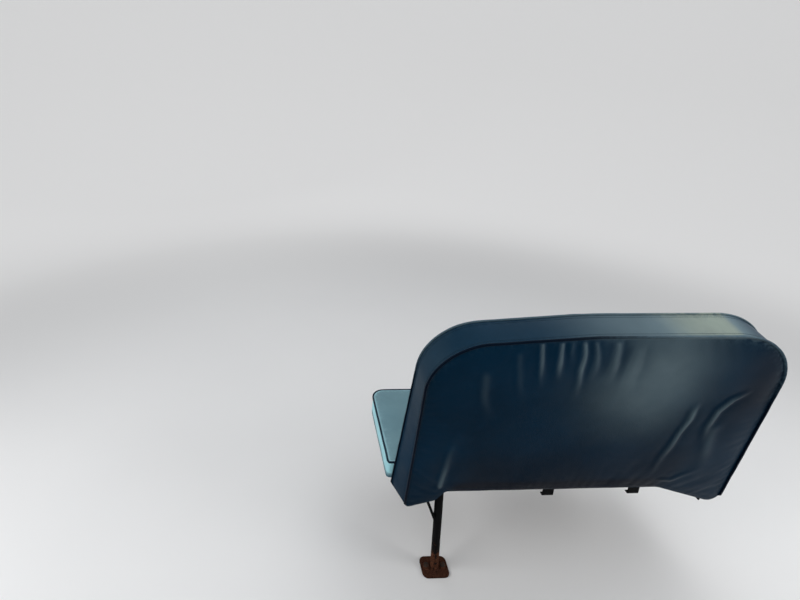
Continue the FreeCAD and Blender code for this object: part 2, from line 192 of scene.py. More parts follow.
def rounded_outline(corners, step, counts=None):
    """Points round a closed outline of (x, y, radius) corners, and how many each of its bends
    and straight runs has. Given counts are used again, so that two outlines match."""
    total = len(corners)
    turns = []
    for i, (x, y, radius) in enumerate(corners):
        here = np.array([x, y])
        back = unit(np.array(corners[i - 1][:2]) - here)
        ahead = unit(np.array(corners[(i + 1) % total][:2]) - here)
        half = math.acos(back @ ahead) / 2
        reach = radius / math.tan(half)
        turns.append((here + back * reach, here + ahead * reach,
                      here + unit(back + ahead) * radius / math.sin(half), radius))
    points, used = [], []
    for i, (start, end, centre, radius) in enumerate(turns):
        a, b = start - centre, end - centre
        angle = math.atan2(a[0] * b[1] - a[1] * b[0], a @ b)
        bends = counts[2 * i] if counts else max(2, round(abs(angle) * radius / step))
        points += [centre + spun(a, angle * j / bends) for j in range(bends)]
        run = turns[(i + 1) % total][0] - end
        steps = counts[2 * i + 1] if counts else max(1, round(np.linalg.norm(run) / step))
        points += [end + run * j / steps for j in range(steps)]
        used += [bends, steps]
    return np.array(points), used


def offset_line(outline, distance):
    """The outline moved outwards in its own plane."""
    run = unit(np.roll(outline, -1, 0) - np.roll(outline, 1, 0))
    return outline + distance * np.stack([run[:, 1], -run[:, 0]], 1)


def raised(flat, height):
    """Flat places given a third coordinate."""
    return np.column_stack([flat, np.broadcast_to(height, len(flat))])


def gone_along(path):
    """How far along a path each of its points lies."""
    return np.concatenate([[0], np.cumsum(np.linalg.norm(np.diff(path, axis=0), axis=1))])


def nearest_on(line, places, closed=True):
    """Distance of each place to a line, and how far along it the nearest point lies."""
    run = np.roll(line, -1, 0) - line
    if not closed:
        run = run[:-1]
    length = np.linalg.norm(run, axis=1)
    begin = gone_along(line)
    best = np.full(len(places), np.inf)
    along = np.zeros(len(places))
    for i in range(len(run)):
        t = np.clip((places - line[i]) @ run[i] / length[i] ** 2, 0, 1)
        gap = np.linalg.norm(places - line[i] - t[:, None] * run[i], axis=1)
        nearer = gap < best
        best[nearer] = gap[nearer]
        along[nearer] = (begin[i] + t * length[i])[nearer]
    return best, along


def inside(outline, places):
    """True for the places inside a closed outline."""
    x, y = places[:, 0], places[:, 1]
    odd = np.zeros(len(places), bool)
    for (x0, y0), (x1, y1) in zip(outline, np.roll(outline, -1, 0)):
        if y0 != y1:
            odd ^= ((y0 > y) != (y1 > y)) & (x < (x1 - x0) * (y - y0) / (y1 - y0) + x0)
    return odd


def read(items, key, width=1):
    """One property of many mesh items, a number or a row of numbers for each."""
    flat = np.zeros(len(items) * width, np.float32)
    items.foreach_get(key, flat)
    return (flat.reshape(-1, width) if width > 1 else flat).astype(float)


def coords(thing):
    return read(thing.data.vertices, "co", 3)


def normals(thing):
    return read(thing.data.vertex_normals, "vector", 3)


def mark(thing, name):
    return read(thing.data.attributes[name].data, "value")


def set_coords(thing, points):
    thing.data.vertices.foreach_set("co", points.astype(np.float32).ravel())
    thing.data.update()


def set_marks(thing, marks):
    for name, values in marks.items():
        layer = thing.data.attributes.new(name, "FLOAT", "POINT")
        layer.data.foreach_set("value", np.asarray(values, np.float32))


class Form:
    """Points and faces of a sewn piece, and what each point is: its panel, its distance from the
    nearest seam, its place along that seam, how firmly it is held and how far it may swell."""

    MARKS = ("panel", "gap", "along", "hold", "room")

    def __init__(self):
        self.points, self.faces, self.creases = [], [], []
        self.marks = {m: [] for m in self.MARKS}

    def add(self, points, **marks):
        """Adds points, which lie still on a seam unless their marks say otherwise."""
        marks = {"panel": 0, "gap": 0, "hold": 1, "room": 0, **marks}
        first = len(self.points)
        self.points += [tuple(p) for p in points]
        for m in self.MARKS:
            self.marks[m] += list(np.broadcast_to(marks[m], len(points)))
        return list(range(first, first + len(points)))

    def ring(self, before, points, **marks):
        """Adds a closed ring of points and its faces to the ring before it."""
        ring = self.add(points, **marks)
        self.faces += quads(before, ring)
        return ring

    def fill(self, outline, ring, step, place, **marks):
        """Covers a flat outline, whose own points are in the form, with a grid and triangles."""
        low, high = outline.min(0), outline.max(0)
        count = np.maximum(((high - low) / step).round().astype(int), 2)
        xs, ys = (np.linspace(low[k], high[k], count[k] + 1)[1:-1] for k in (0, 1))
        grid = np.stack(np.meshgrid(xs, ys), -1).reshape(-1, 2)
        gap, along = nearest_on(outline, grid)
        keep = inside(outline, grid) & (gap > 0.55 * step)
        grid, gap, along = grid[keep], gap[keep], along[keep]
        inner = self.add(place(grid), gap=gap, along=along, **marks)
        flat = [Vector(p) for p in np.concatenate([outline, grid])]
        made = geometry.delaunay_2d_cdt(flat, loop(range(len(outline))), [], 1, 1e-7)
        where = [group[0] for group in made[3]]
        index = list(ring) + inner
        self.faces += [[index[where[k]] for k in face] for face in made[2]]
        return inner

    def crease(self, ring):
        self.creases += loop(ring)

    def build(self, name):
        """A closed mesh, mostly of quads, with the marks as attributes of its points."""
        thing = link(name, self.points, self.faces)
        set_marks(thing, self.marks)
        bm = bmesh.new()
        bm.from_mesh(thing.data)
        bmesh.ops.recalc_face_normals(bm, faces=bm.faces)
        sharp = bm.edges.layers.float.new("crease_edge")
        bm.verts.ensure_lookup_table()
        for a, b in self.creases:
            edge = bm.edges.get((bm.verts[a], bm.verts[b]))
            edge[sharp] = 1
            edge.smooth = False
        flat = [f for f in bm.faces if len(f.verts) == 3]
        bmesh.ops.join_triangles(bm, faces=flat, angle_face_threshold=0.2,
                                 angle_shape_threshold=0.9, cmp_sharp=True)
        bm.to_mesh(thing.data)
        bm.free()
        thing.data.shade_smooth()
        return thing


def apply_modifiers(thing):
    """Replaces the mesh by what its modifiers make of it."""
    graph = bpy.context.evaluated_depsgraph_get()
    made = bpy.data.meshes.new_from_object(thing.evaluated_get(graph),
                                           preserve_all_data_layers=True, depsgraph=graph)
    thing.modifiers.clear()
    thing.data = made


def relax(thing, moved, loose, rounds=5):
    """Evens out how far the loose points have moved, so that no small ripples stay in them."""
    edges = np.array([edge.vertices[:] for edge in thing.data.edges])
    degree = np.bincount(edges.ravel(), minlength=len(moved))[:, None]
    for _ in range(rounds):
        total = np.zeros_like(moved)
        np.add.at(total, edges[:, 0], moved[edges[:, 1]])
        np.add.at(total, edges[:, 1], moved[edges[:, 0]])
        moved[loose] = (total / degree)[loose]
    return moved


def swell(thing, frames=20):
    """Fills a sewn form with foam: cloth under pressure, held at its seams, and never
    further than each point's room."""
    rest, room, hold = coords(thing), mark(thing, "room"), mark(thing, "hold")
    pins = thing.vertex_groups.new(name="pins")
    for i, weight in enumerate(hold):
        if weight > 0:
            pins.add([i], float(weight), "REPLACE")
    cloth = thing.modifiers.new("cloth", "CLOTH")
    settings = cloth.settings
    settings.quality = 6
    settings.mass = 0.3
    settings.tension_stiffness = settings.compression_stiffness = 25
    settings.shear_stiffness = 8
    settings.bending_stiffness = 0.6
    settings.use_pressure = True
    settings.uniform_pressure_force = 4.0
    settings.vertex_group_mass = "pins"
    settings.shrink_min = -0.003
    settings.effector_weights.gravity = 0
    cloth.collision_settings.use_collision = False
    cloth.point_cache.frame_start, cloth.point_cache.frame_end = 1, frames
    scene = bpy.context.scene
    for number in range(1, frames + 1):
        scene.frame_set(number)
    done = thing.evaluated_get(bpy.context.evaluated_depsgraph_get())
    moved = read(done.to_mesh().vertices, "co", 3) - rest
    done.to_mesh_clear()
    thing.modifiers.clear()
    thing.vertex_groups.clear()
    scene.frame_set(1)
    moved = relax(thing, moved, (mark(thing, "panel") == 0) & (hold < 1))
    far = np.linalg.norm(moved, axis=1)
    limit = np.maximum(room, 0.01 * MM)
    moved *= (limit * np.tanh(far / limit) / np.maximum(far, 1e-9))[:, None]
    set_coords(thing, rest + moved)


def subdivide(thing):
    levels = thing.modifiers.new("subdivide", "SUBSURF")
    levels.levels = levels.render_levels = 1
    levels.boundary_smooth = "PRESERVE_CORNERS"
    apply_modifiers(thing)
    thing.data.shade_smooth()


def soft_noise(points, scale, seed=0.0):
    """Smooth noise from -1 to 1 at many points."""
    moved = points * scale + seed
    return np.array([noise.noise(Vector(p)) for p in moved])


def wander(points, scale, seeds, reach):
    """Smooth strayings of many points, with a seed for each direction."""
    return np.stack([soft_noise(points, scale, s) for s in seeds], 1) * reach


def along_noise(along, scale, seed):
    """Smooth noise that changes only along a seam."""
    return soft_noise(np.stack([along, 0 * along, 0 * along], 1), scale, seed)


def smoothstep(values, low, high):
    t = np.clip((values - low) / (high - low), 0, 1)
    return t * t * (3 - 2 * t)


def hill(x, y, middle, reach):
    """1 at a place on a surface, and less away from it."""
    return np.exp(-np.hypot((x - middle[0]) / reach[0], (y - middle[1]) / reach[1]) ** 2)


def fold(places, line, width, height, start=0.12, fade=0.35):
    """Heights of one fold of slack cover along a bent line of (across, up) places. It rises
    over the line's start and dies out towards its end."""
    line = np.array(line) * MM
    gap, along = nearest_on(line, places, closed=False)
    t = along / gone_along(line)[-1]
    shape = smoothstep(t, 0, start) * smoothstep(1 - t, 0, 1 - fade)
    spread = width * MM * (1 + 0.5 * t)
    ridge = np.exp(-(gap / spread) ** 2) - 0.38 * np.exp(-(gap / (2.3 * spread)) ** 2)
    return height * MM * shape * ridge


def puckers(thing, depth, reach):
    """Heights of the small gathers that stitching pulls into a cover beside its seams."""
    gap, along = mark(thing, "gap"), mark(thing, "along")
    wave = np.sin(along * 2 * math.pi / (12.5 * MM) + 5 * along_noise(along, 9.0, 3.1))
    slow = along_noise(along, 14.0, 8.7)
    return depth * wave * (0.55 + 0.75 * slow) * np.exp(-(gap / reach) ** 1.5)


def tube_mesh(name, path, radius, sides=10, closed=False):
    """A round cord along a path, with rounded ends unless it is closed."""
    path = np.asarray(path, float)
    radius = np.broadcast_to(radius, len(path)).astype(float)
    if closed:
        ahead = np.roll(path, -1, 0) - np.roll(path, 1, 0)
    else:
        ahead = unit(np.gradient(path, axis=0))
        caps = [(-0.85, 0.35), (-0.5, 0.8)]
        before = [path[0] + ahead[0] * radius[0] * k for k, _ in caps]
        after = [path[-1] - ahead[-1] * radius[-1] * k for k, _ in reversed(caps)]
        path = np.concatenate([before, path, after])
        radius = np.concatenate([[radius[0] * r for _, r in caps], radius,
                                 [radius[-1] * r for _, r in reversed(caps)]])
        ahead = np.concatenate([[ahead[0]] * 2, ahead, [ahead[-1]] * 2])
    ahead = unit(ahead)
    total, spokes = len(path), circle(sides)
    side = np.cross(ahead[0], [0.3, 0.2, 1.0])
    points = []
    for i in range(total):
        side = unit(side - (side @ ahead[i]) * ahead[i])
        other = np.cross(ahead[i], side)
        points += [path[i] + radius[i] * (c * side + s * other) for c, s in spokes]
    faces = skin(total, sides, capped=not closed)
    if closed:
        # the last ring may be turned against the first, so its nearest corner is matched
        first, last = np.array(points[:sides]), points[-sides]
        turn = int(np.argmin(np.linalg.norm(first - last, axis=1)))
        faces += quads(range((total - 1) * sides, total * sides),
                       [(turn + k) % sides for k in range(sides)])
    return link(name, points, faces)


def join(name, things):
    """One object out of several."""
    bm = bmesh.new()
    for thing in things:
        bm.from_mesh(thing.data)
        bpy.data.objects.remove(thing)
    mesh = bpy.data.meshes.new(name)
    bm.to_mesh(mesh)
    bm.free()
    made = bpy.data.objects.new(name, mesh)
    bpy.context.scene.collection.objects.link(made)
    return made


# Materials

class Nodes:
    """Makes and links the shader nodes of one tree."""

    def __init__(self, tree):
        self.tree = tree

    def feed(self, made, values):
        """Sets a node's inputs, each to a number, a colour or a link."""
        for socket, value in values.items():
            if isinstance(value, bpy.types.NodeSocket):
                self.tree.links.new(value, made.inputs[socket])
            else:
                made.inputs[socket].default_value = value

    def make(self, kind, values=(), **settings):
        """The outputs of a new node with its settings and its inputs."""
        made = self.tree.nodes.new("ShaderNode" + kind)
        for key, value in settings.items():
            setattr(made, key, value)
        self.feed(made, dict(values))
        return made.outputs

    def mix(self, amount, a, b):
        return self.make("Mix", {0: amount, 6: a, 7: b}, data_type="RGBA")[2]

    def noise(self, where, scale, detail=3.0, rough=0.5):
        values = {"Vector": where, "Scale": scale, "Detail": detail, "Roughness": rough}
        return self.make("TexNoise", values)["Fac"]

    def ramp(self, value, low, high, to_low=0.0, to_high=1.0):
        values = {0: value, 1: low, 2: high, 3: to_low, 4: to_high}
        return self.make("MapRange", values, interpolation_type="SMOOTHSTEP")[0]

    def calc(self, operation, *values):
        return self.make("Math", dict(enumerate(values)), operation=operation)[0]

    def times(self, a, b):
        return self.calc("MULTIPLY", a, b)

    def plus(self, a, b):
        return self.calc("ADD", a, b)

    def upward(self, vector):
        return self.make("SeparateXYZ", {0: vector})["Z"]

    def painted(self, name):
        """A mark that the script has set on each point of a piece."""
        return self.make("Attribute", attribute_name=name)["Fac"]

    def relief(self, height, strength, depth):
        values = {"Strength": strength, "Distance": depth, "Height": height}
        return self.make("Bump", values)[0]

    def seen_directly(self):
        """1 for what the camera sees, also in a reflection or through something, 0 for light."""
        ray = self.make("LightPath")
        seen = self.calc("MAXIMUM", ray["Is Camera Ray"], ray["Is Glossy Ray"])
        return self.calc("MAXIMUM", seen, ray["Is Transmission Ray"])


def rgba(colour, gain=1.0):
    return [min(c * gain, 1.0) for c in colour] + [1.0]


def blank(name):
    """A new material with its nodes, its Principled shader and the piece's own coordinates."""
    material = bpy.data.materials.new(name)
    material.use_nodes = True
    n = Nodes(material.node_tree)
    return material, n, n.tree.nodes["Principled BSDF"], n.make("TexCoord")


def vinyl(name, colour, pale, fade, scuff, haze_sheen_tint=(0.205, 0.285, 0.315),
          glare_tint=(0.31, 0.37, 0.325)):
    """Grained vinyl: blotchy dye, sun fading with a painted sheen where it faces up, a painted
    sheen and glare with some haze, painted shade, rubbed edges with painted highlights, uneven
    gloss."""
    material, n, shader, where = blank(name)
    spot = where["Object"]
    mottle = n.noise(spot, 38.0, 5.0, 0.65)
    dye = n.mix(n.ramp(n.noise(spot, 4.0, 4.0), 0.3, 0.7), rgba(colour, 0.80), rgba(colour, 1.22))
    dye = n.mix(n.times(n.ramp(mottle, 0.5, 0.8), 0.22), dye, rgba(colour, 1.7))
    # lighter where it faces up: sun fading, together with a painted sheen as where light falls
    # from above
    faded_and_sheen_up = n.times(n.ramp(n.upward(where["Normal"]), 0.15, 0.95, 0.0, fade),
                  n.ramp(n.noise(spot, 7.0, 5.0), 0.25, 0.7, 0.72, 1.0))
    dye = n.mix(faded_and_sheen_up, dye, rgba(pale))
    # painted sheen and glare, with some real haze, lighten the dye where this mark is set
    haze_and_painted_sheen = n.painted("haze_and_painted_sheen")
    clouded = n.ramp(n.noise(spot, 6.0, 4.0), 0.25, 0.75, 0.75, 1.1)
    tint = n.mix(n.ramp(haze_and_painted_sheen, 0.7, 0.95), rgba(haze_sheen_tint), rgba(glare_tint))
    dye = n.mix(n.times(haze_and_painted_sheen, clouded), dye, tint)
    # painted shade darkens the dye where this mark is set
    dye = n.mix(n.painted("painted_shade"), dye, rgba(SHADE_DARK))
    patchy = n.ramp(n.noise(spot, 90.0, 6.0, 0.7), 0.42, 0.66)
    # rubbed wear along seams lightens the dye, and on the piping the same mark is a painted
    # highlight
    dye = n.mix(n.times(n.times(n.painted("wear_and_highlight"), patchy), scuff), dye, rgba(pale, 1.5))
    grain = n.make("TexVoronoi", {"Vector": spot, "Scale": 560.0, "Randomness": 0.95},
                   feature="SMOOTH_F1")["Distance"]
    creases = n.make("TexVoronoi", {"Vector": spot, "Scale": 210.0},
                     feature="DISTANCE_TO_EDGE")["Distance"]
    height = n.plus(n.plus(grain, n.ramp(creases, 0.0, 0.18, 0.0, 0.8)), n.times(mottle, 1.4))
    gloss = n.ramp(n.noise(spot, 11.0, 5.0, 0.6), 0.25, 0.75, 0.28, 0.42)
    n.feed(shader, {"Base Color": dye, "Roughness": gloss, "Specular IOR Level": 0.03,
                    "Specular Tint": (0.50, 0.78, 1.0, 1),
                    "Normal": n.relief(height, 0.30, 0.4 * MM)})
    return material


def steel(name, colour, rust, rusty, near_floor, metallic=0.0, rough=(0.38, 0.62)):
    """Painted or bare steel: uneven coat, dust, chips that show rust, more of it low down."""
    material, n, shader, where = blank(name)
    spot = where["Object"]
    coat = n.mix(n.ramp(n.noise(spot, 30.0, 5.0), 0.3, 0.7), rgba(colour, 0.75),
                 rgba(colour, 1.35))
    dust = n.ramp(n.noise(spot, 14.0, 6.0, 0.65), 0.48, 0.72, 0.0, 0.5)
    coat = n.mix(n.times(dust, 0.04), coat, rgba(DUST))
    patches = n.noise(spot, 75.0, 8.0, 0.7)
    reach = n.plus(n.times(n.ramp(n.upward(spot), near_floor, 0.0), 0.30), rusty)
    chipped = n.ramp(n.plus(patches, reach), 0.66, 0.74)
    shade = n.noise(spot, 240.0, 6.0, 0.7)
    brown = n.mix(n.ramp(shade, 0.35, 0.65), rgba(rust, 0.45), rgba(rust, 1.55))
    smooth = n.ramp(patches, 0.3, 0.7, *rough)
    smooth = n.make("Mix", {0: chipped, 2: smooth, 3: 0.88}, data_type="FLOAT")[0]
    height = n.plus(n.times(chipped, shade), n.times(patches, 0.25))
    n.feed(shader, {"Base Color": n.mix(chipped, coat, brown), "Roughness": smooth,
                    "Specular IOR Level": 0.04, "Normal": n.relief(height, 0.55, 0.7 * MM)})
    if metallic:
        n.feed(shader, {"Metallic": n.times(n.calc("SUBTRACT", 1.0, chipped), metallic)})
    return material


def plywood(name):
    """Plywood: streaky face grain along X and the lines of its plies on the edges."""
    material, n, shader, where = blank(name)
    spot = where["Object"]
    streaks = n.make("Mapping", {"Vector": spot, "Scale": (3.0, 60.0, 1.0)})[0]
    grain = n.noise(streaks, 3.0, 8.0, 0.65)
    wood = n.mix(n.ramp(grain, 0.3, 0.7), (0.24, 0.145, 0.072, 1), (0.44, 0.30, 0.165, 1))
    plies = n.calc("SINE", n.times(n.upward(spot), 2 * math.pi / (3.4 * MM)))
    edge = n.ramp(n.calc("ABSOLUTE", n.upward(where["Normal"])), 0.8, 0.2)
    wood = n.mix(n.times(edge, n.ramp(plies, -0.2, 0.6)), wood, (0.10, 0.055, 0.03, 1))
    stain = n.ramp(n.noise(spot, 9.0, 5.0), 0.52, 0.7, 0.0, 0.5)
    n.feed(shader, {"Base Color": n.mix(stain, wood, (0.09, 0.06, 0.04, 1)),
                    "Roughness": n.ramp(grain, 0.3, 0.7, 0.62, 0.82),
                    "Normal": n.relief(grain, 0.35, 0.5 * MM)})
    return material


def floor_paint(name):
    """Pale floor to the eye and in reflections, and a darker one for the light it throws back.
    A faint glow evens out the far floor and the backdrop."""
    material, n, shader, where = blank(name)
    spot, seen = where["Object"], n.seen_directly()
    pale = n.mix(n.noise(spot, 1.3, 3.0), (0.82, 0.82, 0.82, 1), (0.87, 0.87, 0.865, 1))
    away = n.make("VectorMath", {0: spot}, operation="LENGTH")[1]
    pale = n.mix(n.ramp(away, 1.2, 3.2), pale, (0.42, 0.42, 0.42, 1))
    n.feed(shader, {"Base Color": n.mix(seen, (0.38, 0.38, 0.38, 1), pale), "Roughness": 0.75,
                    "Emission Strength": n.times(seen, n.ramp(away, 1.1, 4.2, 0.0, 0.50)),
                    "Emission Color": (1.0, 1.0, 1.0, 1)})
    return material


NAVY = (0.0019, 0.0200, 0.0450)
PALE = (0.060, 0.100, 0.125)
RUST = (0.085, 0.034, 0.019)
BLACK = (0.0035, 0.0035, 0.004)
SHADE_DARK = (0.0020, 0.0030, 0.0085)
DUST = (0.13, 0.12, 0.105)

back_vinyl = vinyl("back_vinyl", NAVY, PALE, 0.12, 0.8)
cushion_vinyl = vinyl("cushion_vinyl", (0.075, 0.163, 0.205), (0.200, 0.330, 0.370), 0.75, 0.8,
                      haze_sheen_tint=(0.40, 0.70, 0.78), glare_tint=(0.46, 0.86, 0.94))
welt_vinyl = vinyl("welt_vinyl", (0.002, 0.009, 0.022), PALE, 0.3, 0.9)
back_of_vinyl = vinyl("back_of_vinyl", (0.16, 0.19, 0.19), PALE, 0.0, 0.0)
thread = vinyl("thread", (0.008, 0.020, 0.034), PALE, 0.1, 0.1)
black_paint = steel("black_paint", BLACK, RUST, 0.02, 0.13)
rusty_steel = steel("rusty_steel", (0.012, 0.008, 0.006), (0.050, 0.020, 0.012), 0.18, 0.10,
                    rough=(0.6, 0.8))
bolt_steel = steel("bolt_steel", (0.042, 0.032, 0.026), RUST, 0.10, 0.02, metallic=0.25,
                   rough=(0.45, 0.65))
zinc = steel("zinc", (0.42, 0.42, 0.40), RUST, 0.04, 0.05, metallic=0.9, rough=(0.30, 0.5))
wood = plywood("plywood")
plastic = steel("plug_plastic", (0.018, 0.018, 0.019), (0.05, 0.05, 0.05), 0.0, 0.01)


# Sewing

LEANT_ON = (0.06, 0.33, 0.60)          # the three places that are sunk by use


def welt(name, path, body, radius, closed=False, material=welt_vinyl):
    """Piping along a seam, a little uneven as sewn piping is."""
    size = radius * (1 + 0.06 * soft_noise(path, 60.0, 4.0))
    made = tube_mesh(name, path + wander(path, 22.0, (1.0, 6.0, 11.0), 0.5 * MM), size,
                     closed=closed)
    return finish_piece(made, material, body, "vinyl_navy")


def stitch_row(name, path, surface, body, pitch=4.6 * MM, length=3.3 * MM):
    """Separate stitches of thread laid on a surface along a path."""
    radius = 0.45 * MM
    gone = gone_along(path)
    at = np.arange(pitch, gone[-1] - pitch, pitch)
    spots = np.stack([np.interp(at, gone, path[:, k]) for k in range(3)], 1)
    tree = BVHTree.FromObject(surface, bpy.context.evaluated_depsgraph_get())
    points, faces = [], []
    for i, spot in enumerate(spots[:-1]):
        here, up, _, _ = tree.find_nearest(Vector(spot))
        ahead = Vector(spots[i + 1] - spot)
        ahead = (ahead - ahead.dot(up) * up).normalized()
        side = up.cross(ahead)
        faces += skin(4, 6, first=len(points))
        for t, size in ((-0.5, 0.45), (-0.3, 1.0), (0.3, 1.0), (0.5, 0.45)):
            middle = here + ahead * length * t + up * radius * (0.9 * size - 0.35)
            points += [middle + size * radius * (c * side + s * up) for c, s in circle(6)]
    finish_piece(link(name, points, faces), thread, body, "vinyl_navy")


# Back

def back_corners(flare, rise):
    """Corners of the back's outline: two hanging skirts, a hem between them, the top corners."""
    top = BACK_HEIGHT + rise
    # across, up and radius
    return [
        (BACK_AISLE - flare, 2 * MM, 10 * MM),
        (BACK_AISLE + SKIRT_AISLE - 24 * MM, 34 * MM, 18 * MM),
        (BACK_AISLE + SKIRT_AISLE, HEM, 12 * MM),
        (BACK_WALL - SKIRT_WALL, HEM, 40 * MM),
        (BACK_WALL, -8 * MM, 26 * MM),
        (BACK_WALL - BACK_TAPER * top / BACK_HEIGHT, top, BACK_CORNER_WALL),
        (BACK_AISLE + BACK_CREST, top, BACK_CREST_R),
        (BACK_AISLE, top - BACK_TOP_DROP, BACK_CORNER_AISLE),
    ]


BACK_STEP = 8.4 * MM
rear_line, back_counts = rounded_outline(back_corners(0, 0), BACK_STEP)
front_line, _ = rounded_outline(back_corners(BACK_FLARE, BACK_RISE), BACK_STEP, back_counts)
BOTTOM_POINTS = sum(back_counts[:9])      # from the aisle skirt along the hem to the wall skirt
OVER_THE_TOP = list(range(BOTTOM_POINTS - 1, len(rear_line))) + [0]


def from_back(places):
    """World points of (across, up, forward) places on the leaning back."""
    return BACK_ORIGIN + places[:, :1] * ACROSS + places[:, 1:2] * UP + places[:, 2:] * FORWARD


def to_back(points):
    """(across, up, forward) places on the leaning back of world points."""
    moved = points - BACK_ORIGIN
    return np.stack([moved @ ACROSS, moved @ UP, moved @ FORWARD], 1)


def rear_face(flat):
    return from_back(raised(flat, 0))


def front_face(flat):
    forward = BACK_THICK + flat[:, 1] * math.sin(FRONT_LEAN)
    return from_back(raised(flat * (1, math.cos(FRONT_LEAN)), forward))


# Folds in millimetres: (across, up) places, half width, height, share of the length to rise over
REAR_FOLDS = [
    # slack pulled up under the top seam
    ([(8, 560), (27, 463), (60, 331)], 14.0, 3.0, 0.15),
    ([(79, 612), (103, 505), (133, 397)], 10.0, 2.6, 0.10),
    ([(130, 632), (142, 563), (162, 473)], 7.0, 6.2, 0.06),
    ([(176, 634), (184, 568), (199, 491)], 7.0, 7.0, 0.06),
    ([(204, 634), (203, 602), (208, 562)], 6.0, 3.8, 0.08),
    ([(229, 635), (239, 568), (252, 472), (251, 428)], 7.0, 7.0, 0.06),
    ([(257, 635), (272, 562), (277, 502)], 6.5, 4.8, 0.08),
    ([(309, 635), (319, 561), (314, 490)], 9.0, 5.4, 0.08),
    ([(366, 630), (370, 501), (383, 425)], 12.0, 2.6, 0.15),
    # slack drawn up from the hem's wall corner
    ([(577, 446), (580, 371), (573, 304), (561, 223), (557, 110)], 7.5, 6.6, 0.18),
    ([(706, 478), (667, 439), (646, 400), (640, 340), (650, 250)], 8.0, 7.4, 0.28),
    ([(655, 375), (670, 277), (690, 200), (702, 120)], 17.0, 4.2, 0.20),
    ([(585, 118), (630, 114), (659, 142), (705, 176)], 7.0, 3.0, 0.20),
    # the aisle skirt drawn round from the hem's aisle corner
    ([(-30, 80), (-29, 198), (-24, 301), (-27, 350)], 8.5, 4.8, 0.08),
    ([(-33, 84), (-36, 171), (-56, 250)], 9.0, 2.4, 0.15),
]
FRONT_FOLDS = [
    # slack under the front's top seam and at its upper corners
    ([(-102, 548), (-66, 512), (-22, 462)], 9.0, 2.8, 0.10),
    ([(-120, 492), (-88, 462), (-52, 416)], 9.0, 2.2, 0.10),
    ([(694, 588), (652, 545), (610, 490)], 9.0, 2.8, 0.10),
    ([(738, 528), (704, 492), (668, 438)], 9.0, 2.2, 0.10),
    ([(150, 622), (156, 572), (168, 500)], 8.5, 2.6, 0.08),
    ([(242, 632), (248, 580), (254, 512)], 8.5, 3.0, 0.08),
    ([(424, 634), (420, 584), (410, 515)], 8.5, 2.4, 0.08),
    # slack above the cushion, between the places that are sunk by use
    ([(196, 150), (198, 232), (206, 330)], 13.0, 3.0, 0.20),
    ([(462, 150), (458, 236), (448, 322)], 13.0, 2.8, 0.20),
    ([(-70, 160), (-52, 226), (-34, 300)], 12.0, 2.4, 0.20),
    ([(742, 160), (722, 230), (700, 304)], 12.0, 2.4, 0.20),
]
FRONT_FREE = (405 * MM, 460 * MM)         # heights over which the front comes free of its board
FRONT_ROOM = (395 * MM, 560 * MM)         # heights over which it comes to swell in full
FRONT_SWELL = 22 * MM


def back_form():
    """Cover of the back before it is filled: rear panel, boxing and front panel, sewn."""
    form = Form()
    along = gone_along(rear_line)
    a, b = rear_face(rear_line), front_face(front_line)
    rear, front = form.add(a, along=along), form.add(b, along=along)
    form.fill(rear_line, rear, BACK_STEP, rear_face, panel=-1, hold=0, room=9 * MM)
    inner = form.fill(front_line, front, BACK_STEP, front_face, panel=1)
    held = (np.arange(len(rear_line)) < BOTTOM_POINTS).astype(float)
    wide = np.linalg.norm(b - a, axis=1)
    rows, ring = 10, rear
    for t in np.arange(1, rows) / rows:
        ring = form.ring(ring, a + (b - a) * t, along=along, hold=held,
                         gap=min(t, 1 - t) * wide, room=8 * MM)
    form.faces += quads(ring, front)
    form.crease(rear)
    form.crease(front)
    # the front is flat behind the cushion and below it
    for i in inner:
        height = form.points[i][2]
        form.marks["hold"][i] = 1 - smoothstep(height, *FRONT_FREE)
        form.marks["room"][i] = FRONT_SWELL * smoothstep(height, *FRONT_ROOM)
    return form


def painted_top_glare(across, up):
    """How far the top of the back is painted pale, as glare where light falls on it: more towards
    the wall.
    """
    towards_wall = smoothstep(across, 0.10, 0.58) * (1 - 0.9 * smoothstep(across, 0.59, 0.68))
    return 0.95 * smoothstep(up, 0.50, 0.62) * towards_wall


def back_haze_and_sheen(across, up, rear, front, slack, leant_on):
    """Painted sheen with some haze in the middle of the rear panel, painted highlights on the
    ridges of folds with less sheen in their valleys, a painted sheen over the front's upper part,
    wear where the front is leant on, and painted light on the boxing."""
    middle = 0.445
    spread = np.where(across < middle, 0.135, 0.11)
    haze_and_painted_sheen = 0.72 * rear * np.exp(-((across - middle) / spread) ** 2)
    haze_and_painted_sheen *= smoothstep(up, 0.18, 0.52) ** 1.8 * (1 - 0.35 * smoothstep(up, 0.54, 0.62))
    # less painted sheen in the valleys of folds, as painted shade
    haze_and_painted_sheen *= 1 - 0.7 * np.clip(-slack / (1.2 * MM), 0, 1)
    # painted highlights on the ridges of folds
    haze_and_painted_sheen += (0.75 * rear + 0.16 * front) * np.clip(slack / (5.0 * MM), 0, 1) ** 2
    # a painted sheen over the front's upper part, and wear where it is leant on
    haze_and_painted_sheen += front * (0.11 * smoothstep(up, 0.22, 0.62) + 0.07 * leant_on)
    # painted light on the boxing's aisle corner and on its top
    aisle_corner = smoothstep(up, 0.25, 0.45) * (1 - smoothstep(across, -0.11, -0.05))
    return haze_and_painted_sheen + (1 - rear - front) * (0.01 + 0.07 * aisle_corner + painted_top_glare(across, up))


def back_painted_shade(across, up):
    """Painted shade in a band along the hem and over the low middle, and darker far towards the
    wall.
    """
    hem = smoothstep(across, -0.02, 0.03) * (1 - smoothstep(across, 0.56, 0.62))
    low_middle = smoothstep(across, -0.04, 0.08) * (1 - smoothstep(across, 0.60, 0.66))
    far_wall = smoothstep(across, 0.62, 0.72) * smoothstep(up, 0.30, 0.45)
    return np.minimum(0.85 * hem * (1 - smoothstep(up, 0.085, 0.14))
                      + 0.50 * low_middle * (1 - smoothstep(up, 0.12, 0.36))
                      + 0.60 * far_wall, 0.9)


